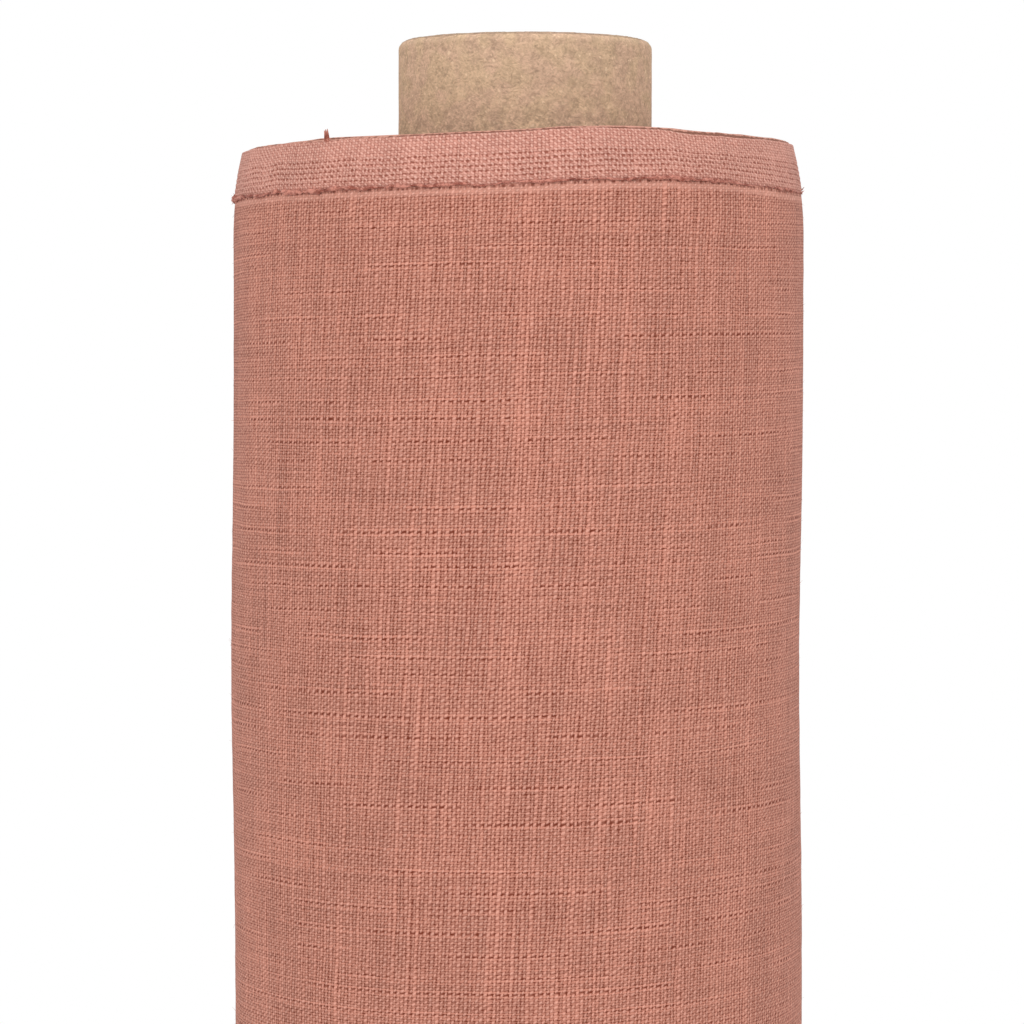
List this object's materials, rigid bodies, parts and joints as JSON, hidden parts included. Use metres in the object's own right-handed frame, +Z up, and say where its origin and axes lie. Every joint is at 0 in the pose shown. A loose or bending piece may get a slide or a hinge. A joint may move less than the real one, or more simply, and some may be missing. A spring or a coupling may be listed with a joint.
{
  "type": "fabric bolt",
  "caption": "Roll of plain-weave linen, doubled and wound on a round cardboard core that stands out of the cloth at the top; the free end peels off.",
  "frame": {"origin": "centre of the foot, on the axis of the core, at the height of the surface the roll stands on", "axes": "+Z up along the core to the end where it stands out of the cloth; the cloth's free end is at the back, at azimuth 120 degrees from +X towards +Y"},
  "size_m": [0.1133, 0.1141, 0.7205],
  "materials": {
    "linen": "matt plain-weave linen, dusty salmon pink, slubby yarns",
    "selvedge": "matt, denser ribbed woven edge, a little paler and pinker",
    "kraft_paper": "matt kraft paper with fine fibres and pale flecks",
    "grey_board": "matt cut board, layered, fibrous",
    "tape": "satin double-sided paper tape"
  },
  "bodies": {
    "roll": {"core_liner_ply": "kraft_paper", "core_board": "grey_board", "core_facing_ply": "kraft_paper", "start_tape_lower": "tape", "start_tape_middle": "tape", "start_tape_upper": "tape", "wound_cloth": "linen", "outer_ply": "linen", "under_ply": "linen", "bottom_fold": "linen", "outer_selvedge": "selvedge", "under_selvedge": "selvedge"},
    "tail_1": {"tail_strip_1": "linen"},
    "tail_2": {"tail_strip_2": "linen"},
    "tail_3": {"tail_strip_3": "linen"},
    "tail_4": {"tail_strip_4": "linen"}
  },
  "joints": [
    {"name": "peel_1", "type": "hinge", "parent": "roll", "child": "tail_1", "pos_m": [0.04923, 0.02842, 0.35], "axis": [0, 0, -1], "range_deg": [0, 22.5]},
    {"name": "peel_2", "type": "hinge", "parent": "tail_1", "child": "tail_2", "pos_m": [0.03466, 0.04517, 0.35], "axis": [0, 0, -1], "range_deg": [0, 22.5]},
    {"name": "peel_3", "type": "hinge", "parent": "tail_2", "child": "tail_3", "pos_m": [0.01476, 0.05508, 0.35], "axis": [0, 0, -1], "range_deg": [0, 22.5]},
    {"name": "peel_4", "type": "hinge", "parent": "tail_3", "child": "tail_4", "pos_m": [-0.00745, 0.05662, 0.35], "axis": [0, 0, -1], "range_deg": [0, 22.5]}
  ],
  "couplings": [
    {"joint": "peel_2", "follows": "peel_1", "ratio": 1},
    {"joint": "peel_3", "follows": "peel_1", "ratio": 1},
    {"joint": "peel_4", "follows": "peel_1", "ratio": 1}
  ]
}
